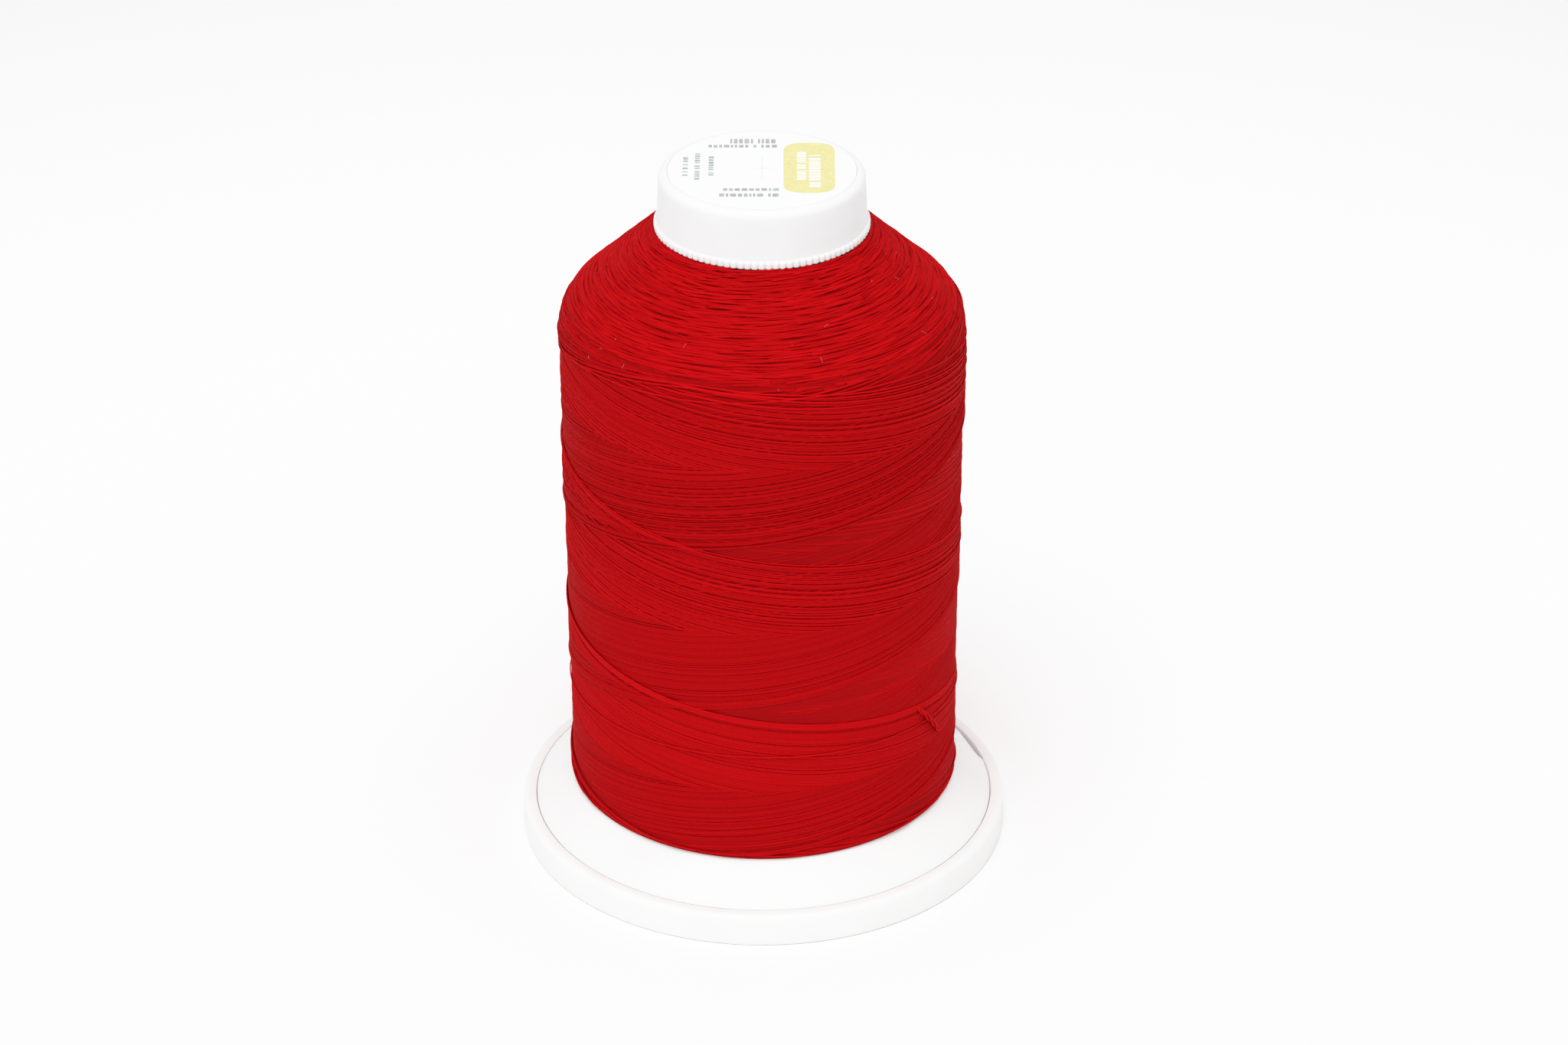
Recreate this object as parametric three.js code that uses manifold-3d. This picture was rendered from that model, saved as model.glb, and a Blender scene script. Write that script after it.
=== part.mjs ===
// A large "king" spool of sewing thread: a hollow moulded spool on a snap-fit base, a press-fit
// head cap with a paper label, and the wound package of thread.
//
// Millimetres, +Z up. The origin is the centre of the footprint, on the surface it stands on.
// Round pieces are turned about the Z axis from (radius, height) outlines.

import * as THREE from 'three';
import { mergeVertices } from 'three/addons/utils/BufferGeometryUtils.js';
import Module from 'manifold-3d';

const wasm = await Module();
wasm.setup();

// ---- Driving dimensions ----

const SIDES = 72; // segments round every turned piece
const GAP = 0.3; // clearance between pieces that touch
const WALL = 1.6; // moulded wall thickness

const TOTAL_HEIGHT = 120.3;

const BASE_RADIUS = 41.1; // where the outer wall meets the table
const BASE_DRAFT = 0.15; // how much the outer wall leans in
const RIM_TOP = 5.5;
const RIM_ROUND = 0.9; // rounded outer edge of the rim
const RIM_INNER_RADIUS = 38.9;
const FOOT_WIDTH = 1.8;
const FLOOR_LOW = 0.8; // underside of the base's floor
const FLOOR_TOP = 2.2;
const LEDGE_RADIUS = 36.6; // step that carries the flange's edge
const LEDGE_TOP = 3.6;

const FLANGE_RADIUS = 38.6;
const FLANGE_EDGE_TOP = 5.54;
const FLANGE_EDGE_LOW = LEDGE_TOP + GAP;
const PACKAGE_FOOT_RADIUS = 32.3; // lower edge of the wound thread
const PACKAGE_FOOT_HEIGHT = 11.4;
const FLANGE_RISE = 0.8667; // height gained per unit of radius, towards the barrel

const BARREL_RADIUS = 15.6;
const BARREL_BORE = BARREL_RADIUS - WALL;
const BARREL_TOP = 118.0;
const GROOVE_BORE = BARREL_BORE + 0.5; // groove that the base's catches ride in
const GROOVE_LOW = 7.0;
const GROOVE_HIGH = 12.0;
const RIB_COUNT = 4; // stiffening webs between barrel and flange
const RIB_THICKNESS = 1.2;
const RIB_LOW = 4.4;
const RIB_REACH = 33.0;

const NOTCH_START = 11; // thread-catch notch in the flange's edge, degrees from +X
const NOTCH_END = 33;
const NOTCH_RADIUS = 37.0;

const COLLAR_RADIUS = 13.6; // snap collar that plugs into the barrel
const COLLAR_BORE = 12.0;
const COLLAR_TOP = 16.0;
const CATCH_RADIUS = 14.2; // bead on the collar's fingers
const CATCH_LOW = 10.3;
const CATCH_HIGH = 11.3;
const SLOT_COUNT = 6; // slots that divide the collar into fingers
const SLOT_WIDTH = 1.4;
const HUB_RADIUS = 7.6; // guide for the spindle in the middle of the base
const HUB_BORE = 6.0;
const HUB_TOP = 10.0;

const CAP_LOW = 111.2;
const CAP_LIP_ROOT = 17.0;
const CAP_LIP_TIP = 17.35;
const CAP_LIP_HEIGHT = 1.1;
const CAP_TEETH = 96;
const CAP_SKIRT_RADIUS = 16.8; // just above the lip
const CAP_TOP_RADIUS = 16.5;
const CAP_ROUND = 1.3; // rounded edge of the cap's top
const CAP_PLATE_LOW = 118.5;
const CAP_PLUG_RADIUS = BARREL_BORE - GAP;
const CAP_PLUG_BORE = CAP_PLUG_RADIUS - 1.3;
const CAP_PLUG_LOW = 106.0;
const CAP_STEM_RADIUS = 6.0; // sleeve that centres the spindle
const CAP_STEM_BORE = 4.5;
const CAP_STEM_LOW = 98.0;

const LABEL_RADIUS = 14.8;
const LABEL_THICKNESS = 0.2;
const RECESS_FLOOR = TOTAL_HEIGHT - LABEL_THICKNESS - GAP;

const PACKAGE_TOP = CAP_LOW - GAP;
const PACKAGE_SHOULDER_RADIUS = 32.95;
const PACKAGE_SHOULDER_HEIGHT = 96.85; // where side and shoulder would meet without the rounding
const SHOULDER_ROUND = 8.5;
const SHOULDER_STEPS = 6;

// ---- Materials ----

function material(color, roughness) {
  return new THREE.MeshStandardMaterial({ color, roughness, metalness: 0 });
}

const whitePlastic = () => material(0xf4f4f2, 0.45);
const redThread = () => material(0xc01018, 0.85);
const whitePaper = () => material(0xfbfbf8, 0.8);

// ---- Geometry helpers ----

function arc(radius, height, size, fromDegrees, toDegrees, steps) {
  const points = [];
  for (let i = 0; i <= steps; i += 1) {
    const angle = THREE.MathUtils.degToRad(fromDegrees + ((toDegrees - fromDegrees) * i) / steps);
    points.push([radius + size * Math.cos(angle), height + size * Math.sin(angle)]);
  }
  return points;
}

// Turns an outline of [radius, height] points, listed anticlockwise, about the Z axis.
function turned(outline) {
  const closed = [...outline, outline[0]];
  const points = closed.map(([radius, height]) => new THREE.Vector2(radius, height));
  const geometry = new THREE.LatheGeometry(points, SIDES);
  geometry.rotateX(Math.PI / 2);
  return geometry;
}

function prism(corners, height, low) {
  const shape = new THREE.Shape(corners.map(([x, y]) => new THREE.Vector2(x, y)));
  const geometry = new THREE.ExtrudeGeometry(shape, { depth: height, bevelEnabled: false });
  geometry.translate(0, 0, low);
  return geometry;
}

function block(width, depth, low, high, x, y) {
  const geometry = new THREE.BoxGeometry(width, depth, high - low);
  geometry.translate(x, y, (low + high) / 2);
  return geometry;
}

function toSolid(geometry) {
  const bare = geometry.clone();
  bare.deleteAttribute('normal');
  bare.deleteAttribute('uv');
  const merged = mergeVertices(bare, 1e-4);
  return new wasm.Manifold(
    new wasm.Mesh({
      numProp: 3,
      vertProperties: new Float32Array(merged.attributes.position.array),
      triVerts: new Uint32Array(merged.index.array),
    }),
  );
}

function toGeometry(solid) {
  const mesh = solid.getMesh();
  const geometry = new THREE.BufferGeometry();
  geometry.setAttribute('position', new THREE.BufferAttribute(mesh.vertProperties, 3));
  geometry.setIndex(new THREE.BufferAttribute(mesh.triVerts, 1));
  geometry.computeVertexNormals();
  return geometry;
}

function flangeHeight(radius) {
  return FLANGE_EDGE_TOP + FLANGE_RISE * (FLANGE_RADIUS - radius);
}

// Height of the flange's underside: the wall is measured square to the slope.
function flangeUnderside(radius) {
  return flangeHeight(radius) - WALL * Math.hypot(1, FLANGE_RISE);
}

// ---- Snap base ----

// The shallow dish that the spool stands on. Its collar plugs into the barrel, and the whole spool
// lifts a little off the rim, which opens the gap that holds the thread's end.
function snapBase() {
  const wallTopRadius = BASE_RADIUS - BASE_DRAFT;
  const outline = [
    [HUB_BORE, FLOOR_LOW],
    [BASE_RADIUS - FOOT_WIDTH, FLOOR_LOW],
    [BASE_RADIUS - FOOT_WIDTH, 0],
    [BASE_RADIUS - 0.3, 0],
    [BASE_RADIUS, 0.3],
    ...arc(wallTopRadius - RIM_ROUND, RIM_TOP - RIM_ROUND, RIM_ROUND, 0, 90, 5),
    ...arc(RIM_INNER_RADIUS + 0.35, RIM_TOP - 0.35, 0.35, 90, 180, 2),
    [RIM_INNER_RADIUS, LEDGE_TOP],
    [LEDGE_RADIUS, LEDGE_TOP],
    [LEDGE_RADIUS, FLOOR_TOP],
    [COLLAR_RADIUS, FLOOR_TOP],
    [COLLAR_RADIUS, CATCH_LOW - 0.4],
    [CATCH_RADIUS, CATCH_LOW],
    [CATCH_RADIUS, CATCH_HIGH],
    [COLLAR_RADIUS, CATCH_HIGH + 0.6],
    [COLLAR_RADIUS - 0.6, COLLAR_TOP],
    [COLLAR_BORE, COLLAR_TOP],
    [COLLAR_BORE, FLOOR_TOP],
    [HUB_RADIUS, FLOOR_TOP],
    [HUB_RADIUS, HUB_TOP],
    [HUB_BORE, HUB_TOP],
  ];
  let solid = toSolid(turned(outline));
  const slotReach = CATCH_RADIUS - COLLAR_BORE + 1.5;
  const slotCentre = COLLAR_BORE - 0.5 + slotReach / 2;
  for (let i = 0; i < SLOT_COUNT; i += 1) {
    const slot = block(slotReach, SLOT_WIDTH, FLOOR_TOP + 2.0, COLLAR_TOP + 1, slotCentre, 0);
    slot.rotateZ((2 * Math.PI * i) / SLOT_COUNT + Math.PI / SLOT_COUNT);
    solid = solid.subtract(toSolid(slot));
  }
  return toGeometry(solid);
}

// ---- Spool body ----

function spoolTurning() {
  const joinRadius = BARREL_RADIUS;
  return turned([
    [BARREL_BORE, FLOOR_TOP + GAP],
    [BARREL_RADIUS, FLOOR_TOP + GAP],
    [joinRadius, flangeUnderside(joinRadius)],
    [FLANGE_RADIUS - 1.0, flangeUnderside(FLANGE_RADIUS - 1.0)],
    [FLANGE_RADIUS - 0.6, FLANGE_EDGE_LOW],
    [FLANGE_RADIUS, FLANGE_EDGE_LOW],
    [FLANGE_RADIUS, FLANGE_EDGE_TOP - 0.4],
    [FLANGE_RADIUS - 0.3, FLANGE_EDGE_TOP + 0.1],
    [FLANGE_RADIUS - 1.0, flangeHeight(FLANGE_RADIUS - 1.0)],
    [joinRadius + 1.2, flangeHeight(joinRadius + 1.2)],
    [joinRadius, flangeHeight(joinRadius) + 1.0],
    [joinRadius, BARREL_TOP],
    [BARREL_BORE, BARREL_TOP],
    [BARREL_BORE, GROOVE_HIGH],
    [GROOVE_BORE, GROOVE_HIGH],
    [GROOVE_BORE, GROOVE_LOW],
    [BARREL_BORE, GROOVE_LOW],
  ]);
}

// One upright web under the flange, standing on the +X side.
function rib() {
  const inner = BARREL_RADIUS - 0.6;
  const corners = [
    [inner, RIB_LOW],
    [RIB_REACH, RIB_LOW],
    [RIB_REACH, flangeUnderside(RIB_REACH) + 0.6],
    [inner, flangeUnderside(inner) + 0.6],
  ];
  const web = prism(corners, RIB_THICKNESS, -RIB_THICKNESS / 2);
  web.rotateX(Math.PI / 2);
  return web;
}

// The sector cut out of the flange's edge, where the thread's end is caught.
function notchCutter() {
  const middle = (NOTCH_START + NOTCH_END) / 2;
  const half = (NOTCH_END - NOTCH_START) / 2;
  const outer = FLANGE_RADIUS + 1;
  const inside = arc(0, 0, NOTCH_RADIUS, middle + half - 2, middle - half + 2, 6);
  const corners = [
    ...inside,
    ...arc(0, 0, outer, middle - half, middle + half, 6),
  ];
  return prism(corners.reverse(), 2 * RIM_TOP, 0);
}

function spoolBody() {
  let solid = toSolid(spoolTurning());
  for (let i = 0; i < RIB_COUNT; i += 1) {
    const web = rib();
    web.rotateZ((2 * Math.PI * (i + 0.5)) / RIB_COUNT);
    solid = solid.add(toSolid(web));
  }
  solid = solid.subtract(toSolid(notchCutter()));
  return toGeometry(solid);
}

// ---- Head cap ----

// Fine teeth round the cap's lower lip, which keep the thread's end from slipping under it.
function toothedLip() {
  const corners = [];
  for (let i = 0; i < CAP_TEETH; i += 1) {
    const tooth = (2 * Math.PI * i) / CAP_TEETH;
    const half = Math.PI / CAP_TEETH;
    corners.push([CAP_LIP_ROOT * Math.cos(tooth), CAP_LIP_ROOT * Math.sin(tooth)]);
    corners.push([CAP_LIP_TIP * Math.cos(tooth + half), CAP_LIP_TIP * Math.sin(tooth + half)]);
  }
  const shape = new THREE.Shape(corners.map(([x, y]) => new THREE.Vector2(x, y)));
  const hole = new THREE.Path();
  hole.absarc(0, 0, BARREL_RADIUS + 2 * GAP, 0, 2 * Math.PI, true);
  shape.holes.push(hole);
  const options = { depth: CAP_LIP_HEIGHT, bevelEnabled: false, curveSegments: SIDES };
  const lip = new THREE.ExtrudeGeometry(shape, options);
  lip.translate(0, 0, CAP_LOW);
  return lip;
}

function headCap() {
  const outline = [
    [CAP_STEM_BORE, CAP_STEM_LOW],
    [CAP_STEM_RADIUS, CAP_STEM_LOW],
    [CAP_STEM_RADIUS, CAP_PLATE_LOW],
    [CAP_PLUG_BORE, CAP_PLATE_LOW],
    [CAP_PLUG_BORE, CAP_PLUG_LOW],
    [CAP_PLUG_RADIUS - 0.5, CAP_PLUG_LOW],
    [CAP_PLUG_RADIUS, CAP_PLUG_LOW + 1.2],
    [CAP_PLUG_RADIUS, CAP_PLATE_LOW],
    [BARREL_RADIUS + GAP, CAP_PLATE_LOW],
    [BARREL_RADIUS + GAP, CAP_LOW + 0.05],
    [CAP_SKIRT_RADIUS + 0.1, CAP_LOW + 0.05],
    [CAP_SKIRT_RADIUS, CAP_LOW + CAP_LIP_HEIGHT + 0.4],
    ...arc(CAP_TOP_RADIUS - CAP_ROUND, TOTAL_HEIGHT - CAP_ROUND, CAP_ROUND, 0, 90, 5),
    [LABEL_RADIUS + GAP, TOTAL_HEIGHT],
    [LABEL_RADIUS + GAP, RECESS_FLOOR],
    [CAP_STEM_BORE, RECESS_FLOOR],
  ];
  const solid = toSolid(turned(outline)).add(toSolid(toothedLip()));
  return toGeometry(solid);
}

function topLabel() {
  const disc = new THREE.CylinderGeometry(LABEL_RADIUS, LABEL_RADIUS, LABEL_THICKNESS, SIDES);
  disc.rotateX(Math.PI / 2);
  disc.translate(0, 0, TOTAL_HEIGHT - LABEL_THICKNESS / 2);
  return disc;
}

// ---- Thread package ----

// The outer envelope of the winding: a nearly straight side, a rounded corner and a conical
// shoulder up to the cap; inside, it follows the flange's cone and the barrel.
function threadPackage() {
  const lift = GAP * Math.hypot(1, FLANGE_RISE);
  const rise = PACKAGE_TOP - PACKAGE_SHOULDER_HEIGHT;
  const run = PACKAGE_SHOULDER_RADIUS - CAP_LIP_TIP;
  const slopeDegrees = THREE.MathUtils.radToDeg(Math.atan2(run, rise));
  const turn = THREE.MathUtils.degToRad(slopeDegrees);
  const cornerLow = PACKAGE_SHOULDER_HEIGHT - SHOULDER_ROUND * Math.tan(turn / 2);
  const inner = BARREL_RADIUS + GAP;
  const roundCentre = PACKAGE_SHOULDER_RADIUS - SHOULDER_ROUND;
  return turned([
    [inner, flangeHeight(inner) + lift + 1.0],
    [inner + 1.0, flangeHeight(inner + 1.0) + lift],
    [PACKAGE_FOOT_RADIUS - 0.4, flangeHeight(PACKAGE_FOOT_RADIUS - 0.4) + lift],
    [PACKAGE_FOOT_RADIUS, PACKAGE_FOOT_HEIGHT + 0.3],
    ...arc(roundCentre, cornerLow, SHOULDER_ROUND, 0, slopeDegrees, SHOULDER_STEPS),
    [CAP_LIP_TIP, PACKAGE_TOP],
    [inner, PACKAGE_TOP],
  ]);
}

// ---- Assembly ----

function piece(name, geometry, surface) {
  const mesh = new THREE.Mesh(geometry, surface);
  mesh.name = name;
  return mesh;
}

const spoolOfThread = new THREE.Group();
spoolOfThread.add(piece('snap_base', snapBase(), whitePlastic()));
spoolOfThread.add(piece('spool_body', spoolBody(), whitePlastic()));
spoolOfThread.add(piece('thread_package', threadPackage(), redThread()));
spoolOfThread.add(piece('head_cap', headCap(), whitePlastic()));
spoolOfThread.add(piece('top_label', topLabel(), whitePaper()));

export default spoolOfThread;
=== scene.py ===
"""A large spool of red sewing thread on a pale floor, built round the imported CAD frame.

Lengths are in mm, and become metres where an object is made. Directions round the spool are in
turns, or degrees where a name says so, from the front (-Y) towards the right (+X). The winding is
made as a winder makes it: its turns are laid one after another on a height map of the package, so
that they cross and nest as real ones do, and each stretch that stays in sight becomes a tube.
"""

import math

import bpy
import numpy as np
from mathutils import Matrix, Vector


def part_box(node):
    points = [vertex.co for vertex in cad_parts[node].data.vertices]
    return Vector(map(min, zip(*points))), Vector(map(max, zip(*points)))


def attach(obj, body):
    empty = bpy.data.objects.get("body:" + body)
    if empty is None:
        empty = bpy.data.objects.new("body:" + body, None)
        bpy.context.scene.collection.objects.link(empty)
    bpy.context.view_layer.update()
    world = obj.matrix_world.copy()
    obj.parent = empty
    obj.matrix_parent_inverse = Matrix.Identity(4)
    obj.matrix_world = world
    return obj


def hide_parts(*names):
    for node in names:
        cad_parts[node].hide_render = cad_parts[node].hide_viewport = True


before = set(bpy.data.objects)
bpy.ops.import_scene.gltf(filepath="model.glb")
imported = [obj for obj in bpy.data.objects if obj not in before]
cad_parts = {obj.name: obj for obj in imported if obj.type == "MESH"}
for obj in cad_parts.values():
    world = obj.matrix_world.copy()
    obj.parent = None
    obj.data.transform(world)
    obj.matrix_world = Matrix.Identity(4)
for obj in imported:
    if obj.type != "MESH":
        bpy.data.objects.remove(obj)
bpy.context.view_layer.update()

MM = 0.001
TURN = 2 * math.pi

rng = np.random.default_rng(7)

# ---- The package's outline, from the CAD solids ----

package_low, package_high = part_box("thread_package")
cap_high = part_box("head_cap")[1]
base_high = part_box("snap_base")[1]
body_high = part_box("spool_body")[1]
label_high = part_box("top_label")[1]

SIDE_RADIUS_MM = package_high.x / MM  # the widest place, under the shoulder
FOOT_RADIUS_MM = SIDE_RADIUS_MM - 0.3
WAIST_RADIUS_MM = SIDE_RADIUS_MM - 0.55  # the narrowest place
WAIST_ABOVE_FOOT_MM = 9
FOOT_HEIGHT_MM = package_low.z / MM - 0.6
NECK_RADIUS_MM = cap_high.x / MM  # where the winding meets the cap's lip
NECK_HEIGHT_MM = package_high.z / MM - 0.1
CORNER_HEIGHT_MM = NECK_HEIGHT_MM - 13.95  # side and shoulder would meet here
CORNER_ROUND_MM = 8.5

# ---- The winding ----

PITCH_MM = 29.7  # rise per turn of the cross winding
TURNS_PER_STROKE = 3
PASSES = 99  # double strokes that cover the package once
STROKE_TOP_MM = 87.3  # where the outermost layer turns back, along the outline from the foot
STROKE_LOW_MM = STROKE_TOP_MM - PITCH_MM * TURNS_PER_STROKE
CREST_TURN = -19 / 360  # where the newest turn-back lies
OLDEST_LAYER = 46  # of those on the shoulder; the outermost two, 1 and 0, cover the side as well
SHOULDER_STEP_MM = 0.45  # each older layer turns back this much higher
SHOULDER_SHIFT_TURN = 0.37  # and starts this much further round
LAYER_MM = 0.22  # how much higher each family of threads stands after one more covering
NEWEST = 5  # the last double strokes lie crowded and proud, as nothing holds them down yet
CROWDING = 0.7  # their distances, as a share of the usual ones
PROUD_MM = 0.13
GAP_SHARE = 0.1  # of the threads have a gap beside them
GAP_WIDTHS = (0.25, 0.8)  # as shares of a thread's width
THREAD_WIDE_MM = 0.165  # half width of a thread pressed into the package
THREAD_HIGH_MM = 0.1  # half height
SINK_MM = 0.045  # how far a thread sinks between those that it lies on
SET_IN_MM = 0.05  # how far the pile's level lies inside the outline, so that its threads reach it

# Kinds of thread: steps from one ring of the tube to the next, the steps over which a taut thread
# bridges hollows, and the range of its shade (0 is deep and 1 light). The ranges carry painted
# sheen: falling threads are painted lighter and rising ones darker, for the sheen that a thread's
# direction catches from the light, and the latest are painted lightest, a painted highlight on
# the newest ridges.
SHOULDER = {"stride": 3, "settle": 5, "shades": (0.1, 0.9)}
RISING = {"stride": 4, "settle": 9, "shades": (0.05, 0.55)}
FALLING = {"stride": 4, "settle": 9, "shades": (0.4, 0.9)}
LATEST = {"stride": 4, "settle": 9, "shades": (0.75, 1.05)}

STEPS_PER_TURN = 720
CELL_MM = 0.05

# Threads that stand out because the winder laid them last, as (degrees, place on the outline).
LAST_THREADS = [
    [(-115, 78.0), (-80, 81.0), (-50, 84.4), (-20, 86.5), (12, 85.2), (45, 83.0), (75, 80.5), (110, 77.6)],
    [(-115, 77.4), (-80, 80.3), (-50, 83.8), (-20, 86.0), (12, 84.7), (45, 82.5), (75, 79.9), (110, 77.0)],
    [(-105, 79.4), (-65, 82.5), (-40, 83.4), (-12, 83.9), (12, 84.9), (40, 84.4), (70, 82.6), (100, 80.3)],
    [(-30, 85.0), (-5, 84.0), (30, 81.9), (65, 78.5), (100, 75.2)],
    [(-95, 18.0), (-60, 19.1), (-25, 19.8), (0, 19.9), (40, 19.0), (75, 17.6), (110, 15.6)],
]


def outline_mm():
    """Points (radius, height) of the package's outer line, from its foot to the cap's lip."""
    slope = math.atan2(SIDE_RADIUS_MM - NECK_RADIUS_MM, NECK_HEIGHT_MM - CORNER_HEIGHT_MM)
    low = CORNER_HEIGHT_MM - CORNER_ROUND_MM * math.tan(slope / 2)
    angles = np.linspace(0, slope, 25)
    centre = SIDE_RADIUS_MM - CORNER_ROUND_MM
    bend = np.stack(
        [centre + CORNER_ROUND_MM * np.cos(angles), low + CORNER_ROUND_MM * np.sin(angles)], 1
    )
    foot = [[FOOT_RADIUS_MM, FOOT_HEIGHT_MM], [WAIST_RADIUS_MM, FOOT_HEIGHT_MM + WAIST_ABOVE_FOOT_MM]]
    return np.concatenate([foot, bend, [[NECK_RADIUS_MM, NECK_HEIGHT_MM]]])


OUTLINE = outline_mm()
OUTLINE_S = np.r_[0, np.cumsum(np.hypot(*np.diff(OUTLINE, axis=0).T))]
LENGTH_MM = OUTLINE_S[-1]
PAD = 40  # spare cells below the foot and above the neck
CELLS = int(LENGTH_MM / CELL_MM) + 2 * PAD
CELL_PLACES = (np.arange(CELLS) - PAD) * CELL_MM


def blur(values, reach):
    """A Gaussian blur along an array; its ends are repeated."""
    half = int(3 * reach) + 1
    kernel = np.exp(-0.5 * (np.arange(-half, half + 1) / reach) ** 2)
    kernel /= kernel.sum()
    padded = np.pad(values, half, mode="edge")
    return np.convolve(padded, kernel, mode="valid")


def spaced(count, total):
    """Places of count neighbouring threads over total: tight, a thin gap here and there.

    The newest threads, at the end, are crowded.
    """
    steps = 1 + 0.03 * rng.standard_normal(count)
    gaps = rng.random(count) < GAP_SHARE
    steps[gaps] += rng.uniform(*GAP_WIDTHS, gaps.sum())
    places = np.cumsum(steps) / steps.sum() * total
    crowd = slice(-1 - NEWEST, -1)
    places[crowd] = total - CROWDING * (total - places[crowd])
    return places


def wander(steps, size):
    """A slow drift of a thread from its ideal line: a sum of waves, the longest the strongest."""
    at = np.arange(steps) / STEPS_PER_TURN
    drift = np.zeros(steps)
    for waves in (0.35, 0.8, 1.9, 4.3):
        drift += rng.normal(0, 1 / (1 + waves)) * np.sin(TURN * (at * waves + rng.random()))
    return size * drift


def level_of(height):
    """The level of the pile, above which the threads stand.

    On the side it is nearly the mean height round the spool. At the foot and on the shoulder it
    follows the pile's large bumps, so that the winding is even there.
    """
    reach_round = 9  # steps
    reach_along = 0.6
    turns = np.fft.rfftfreq(STEPS_PER_TURN)
    low_pass = np.exp(-2 * (math.pi * turns * reach_round) ** 2)
    waves = np.fft.rfft(height, axis=0) * low_pass[:, None]
    smooth_round = np.fft.irfft(waves, STEPS_PER_TURN, axis=0)
    lowest = np.searchsorted(CELL_PLACES, 0.7)  # below this no thread lies
    smooth_round[:, :lowest] = smooth_round[:, lowest : lowest + 1]
    bumps = np.array([blur(row, reach_along / CELL_MM) for row in smooth_round])
    mean = blur(smooth_round.mean(axis=0), 1.6 / CELL_MM)
    ends = [1, 4, STROKE_TOP_MM - 3, STROKE_TOP_MM]
    follows = np.interp(CELL_PLACES, ends, [0.95, 0.12, 0.12, 1])
    return mean + follows * (bumps - mean)


class Package:
    """The height map, and the threads laid on it so far."""

    def __init__(self):
        self.height = np.zeros((STEPS_PER_TURN, CELLS))
        self.threads = []

    def lay(self, start, along, kind, proud=0.0):
        """Lays one thread. along holds its place on the outline at each step from start on.

        proud is how much higher it lies than a taut thread would.
        """
        columns = (start + np.arange(len(along))) % STEPS_PER_TURN
        cell = along / CELL_MM + PAD
        first = np.floor(cell).astype(int)
        inside = (first > 5) & (first < CELLS - 6)  # what runs off the map is left out
        proud = np.broadcast_to(proud, inside.shape)[inside]
        columns, cell, first, along = columns[inside], cell[inside], first[inside], along[inside]
        if len(cell) < 8:
            return
        # A taut thread bridges hollows, and rides over bumps.
        under = sum(self.height[columns, first + j] for j in range(-1, 3)) / 4
        settled = blur(under, kind["settle"])
        centre = blur(np.maximum(settled, blur(under, 2.0) - 0.02), 2.0)
        centre += THREAD_HIGH_MM - SINK_MM + proud
        for j in range(-3, 5):
            off = (first + j - cell) * CELL_MM
            round_part = np.clip(1 - (off / THREAD_WIDE_MM) ** 2, 0, 1)
            top = np.where(round_part > 0, centre + THREAD_HIGH_MM * np.sqrt(round_part), -1e3)
            self.height[columns, first + j] = np.maximum(self.height[columns, first + j], top)
        # the thread's shade, spread over its kind's range, which holds painted sheen or painted highlight
        low, high = kind["shades"]
        golden = 0.61803  # spreads the shades evenly, with neighbours unlike
        shade = low + (high - low) * (len(self.threads) * golden % 1)
        self.threads.append((columns, along, centre, kind["stride"], shade))


def start_ramp(package):
    """The older layers below, lower on the old side of each family's newest line."""
    turn = np.arange(STEPS_PER_TURN)[:, None] / STEPS_PER_TURN
    below_top = STROKE_TOP_MM - CELL_PLACES[None, :]
    around = PITCH_MM * (turn - CREST_TURN)
    rising = ((-below_top - around) / PITCH_MM) % 1
    falling = ((below_top - around) / PITCH_MM) % 1
    fade = np.clip(below_top / 4, 0, 1)  # up to the shoulder
    package.height = -LAYER_MM * (rising + falling) * fade


def lay_shoulder(package):
    """The turn-backs of the older layers, from the neck down."""
    for layer in range(OLDEST_LAYER, 1, -1):
        crest = STROKE_TOP_MM + SHOULDER_STEP_MM * layer
        for k in range(PASSES):
            turn = CREST_TURN + SHOULDER_SHIFT_TURN * layer + k / PASSES + rng.normal(0, 0.012)
            half = rng.uniform(0.04, 0.085)  # of its length, in turns
            steps = int(2 * half * STEPS_PER_TURN)
            t = np.linspace(-half, half, steps)
            soft = rng.uniform(1.6, 4.0)  # how gently it turns back
            lean = rng.normal(0, 2.0)
            drop = np.sqrt((PITCH_MM * t) ** 2 + soft**2) - soft
            along = crest + rng.normal(-0.5, 0.26) - drop + lean * t + wander(steps, 0.03)
            package.lay(int((turn - half) * STEPS_PER_TURN), along, SHOULDER)


def stroke(phase, soft_top, soft_low, top):
    """Place on the outline at a phase of 0 at the foot, and TURNS_PER_STROKE at the top."""
    rise = STROKE_LOW_MM + np.hypot(PITCH_MM * phase, soft_low)
    fall = top - np.hypot(PITCH_MM * (TURNS_PER_STROKE - phase), soft_top)
    return np.where(phase < TURNS_PER_STROKE / 2, rise, fall)


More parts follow.
